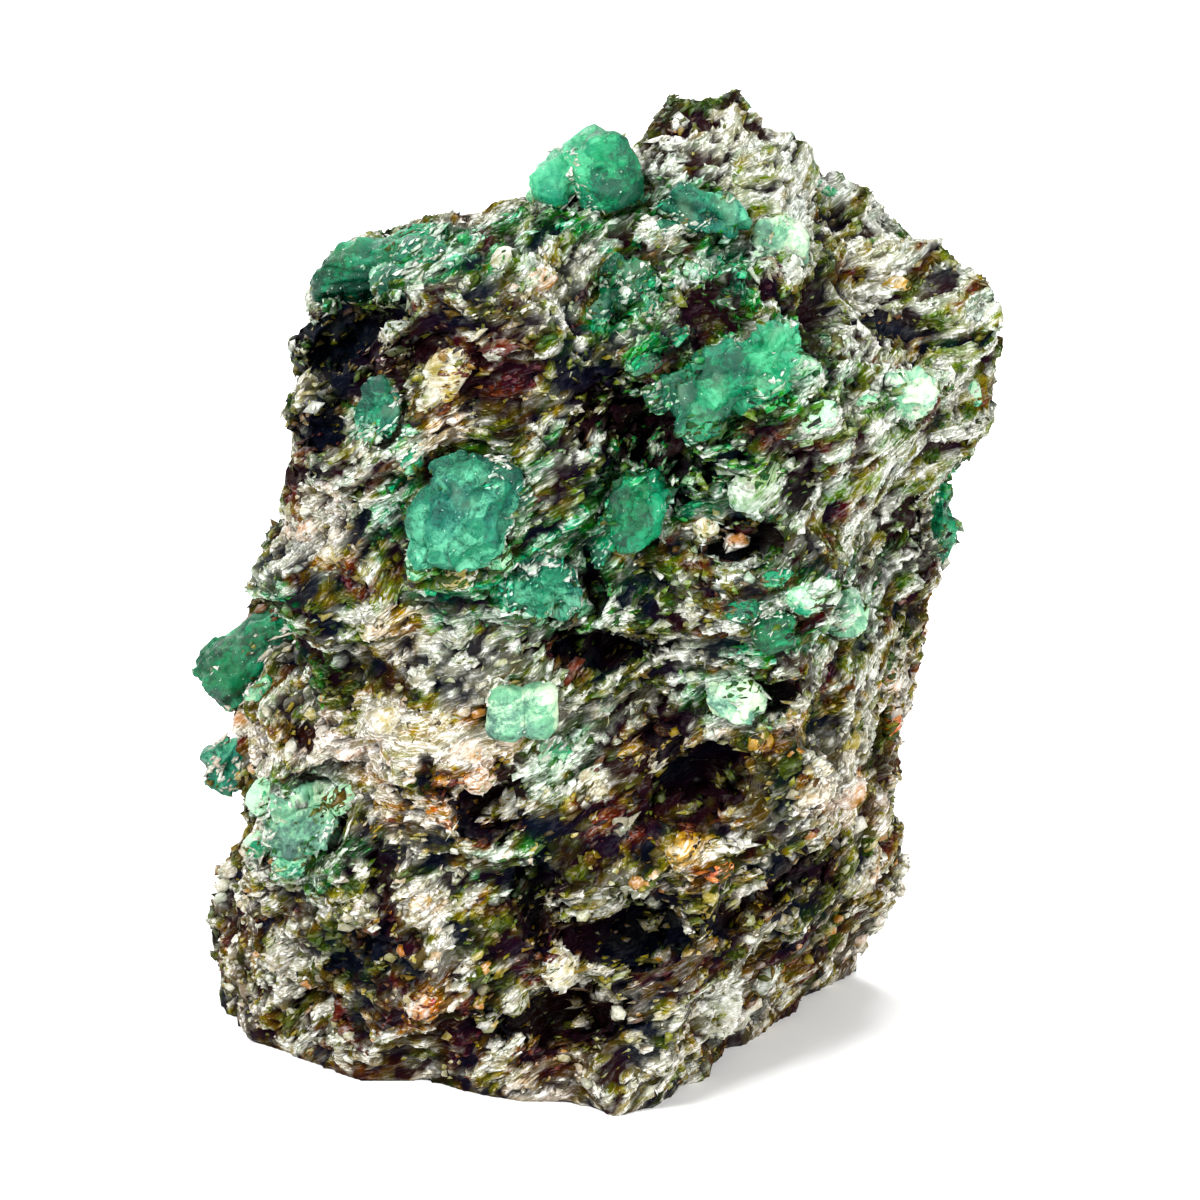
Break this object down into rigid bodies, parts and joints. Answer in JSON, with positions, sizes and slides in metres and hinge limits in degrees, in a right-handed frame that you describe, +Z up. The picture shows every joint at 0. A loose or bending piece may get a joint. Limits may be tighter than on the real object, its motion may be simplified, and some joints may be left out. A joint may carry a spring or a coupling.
{
  "type": "emerald in matrix specimen",
  "caption": "Standing hand specimen of grey-brown mica schist with green beryl crystals seated in pockets; rests on a flat cut foot.",
  "frame": {"origin": "on the flat foot that the rock stands on, below the rock's middle", "axes": "+Z up, -Y out of the show face with the most emeralds, +X to the right as that face is seen"},
  "size_m": [0.0628, 0.0549, 0.0735],
  "materials": {
    "schist": "rough broken mica schist, glittering flakes",
    "beryl_bright": "glassy, translucent bright green",
    "beryl_deep": "glassy, translucent deep green",
    "beryl_teal": "waxy to glassy, translucent teal green",
    "beryl_pale": "waxy, cloudy pale mint green"
  },
  "bodies": {
    "root": {"schist_matrix": "schist", "crown_emerald": "beryl_bright", "brow_emerald": "beryl_deep", "flank_emerald": "beryl_deep", "heart_emerald": "beryl_teal", "inner_emerald": "beryl_deep", "ledge_emerald": "beryl_teal", "twin_beryl": "beryl_pale", "east_emerald": "beryl_bright", "summit_emerald": "beryl_teal", "green_bead": "beryl_deep", "shelf_beryl": "beryl_pale", "mint_beryl": "beryl_pale", "flaky_beryl": "beryl_pale", "rim_emerald": "beryl_teal", "west_emerald": "beryl_teal", "upper_emerald": "beryl_deep", "shoulder_beryl": "beryl_pale", "slope_beryl": "beryl_pale", "right_emerald": "beryl_deep", "back_emerald": "beryl_bright", "back_low_emerald": "beryl_deep", "back_pale_beryl": "beryl_pale", "back_crest_emerald": "beryl_teal", "left_emerald": "beryl_teal"}
  },
  "joints": []
}
